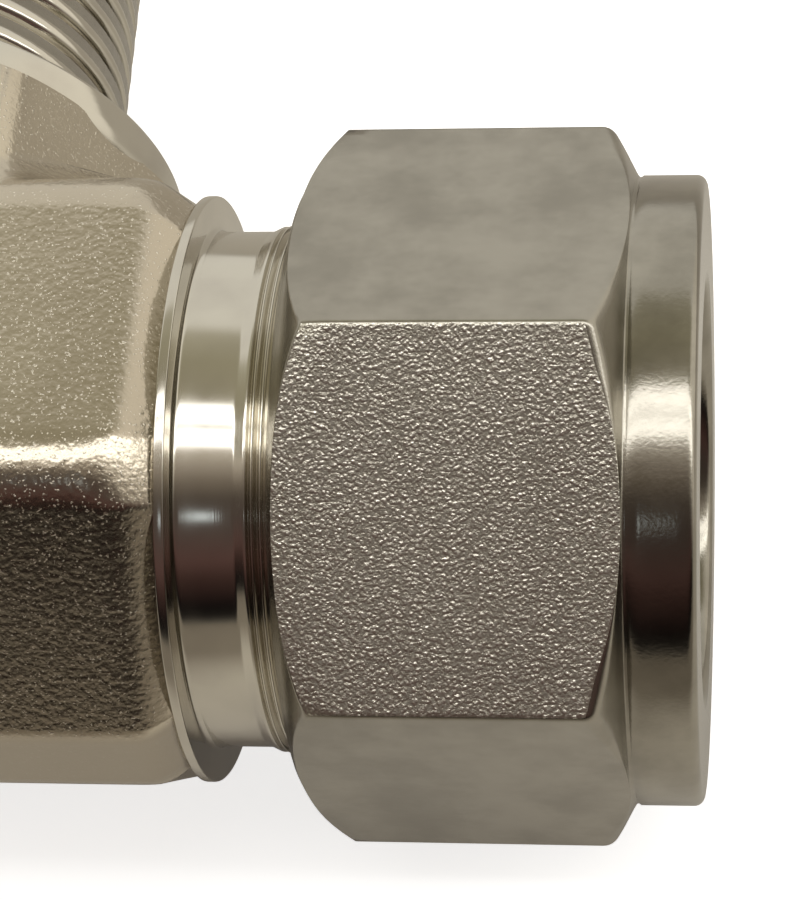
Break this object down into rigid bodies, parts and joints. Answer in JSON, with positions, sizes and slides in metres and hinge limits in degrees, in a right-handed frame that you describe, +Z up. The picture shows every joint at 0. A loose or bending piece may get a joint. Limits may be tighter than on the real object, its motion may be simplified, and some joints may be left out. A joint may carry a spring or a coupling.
{
  "type": "male elbow tube fitting",
  "caption": "Right-angle steel tube fitting: a forged elbow with a tapered male pipe thread on one arm and, on the other, a hexagon nut over two ferrules that grip a plain tube.",
  "frame": {"origin": "centre of the tube stop, where the end of the tube comes to rest inside the body", "axes": "+X out along the tube arm towards the nut's end, +Y out along the male arm, +Z up, square to both arms"},
  "size_m": [0.0543, 0.0519, 0.0326],
  "materials": {
    "forged_body": "blasted forging with bright turned ends",
    "nut_steel": "satin machined flats, one blasted",
    "ferrule_steel": "bright turned"
  },
  "bodies": {
    "elbow": {"elbow_body": "forged_body"},
    "ferrules": {"front_ferrule": "ferrule_steel", "back_ferrule": "ferrule_steel"},
    "nut": {"tube_nut": "nut_steel"}
  },
  "joints": [
    {"name": "ferrule_slide", "type": "slide", "parent": "elbow", "child": "ferrules", "axis": [1, 0, 0], "range_m": [0, 0.0086]},
    {"name": "nut_turn", "type": "hinge", "parent": "ferrules", "child": "nut", "pos_m": [0.0154, 0, 0], "axis": [1, 0, 0], "range_deg": [0, 2430]}
  ],
  "couplings": [
    {"joint": "ferrule_slide", "follows": "nut_turn", "m_per_rad": 0.00020213}
  ]
}
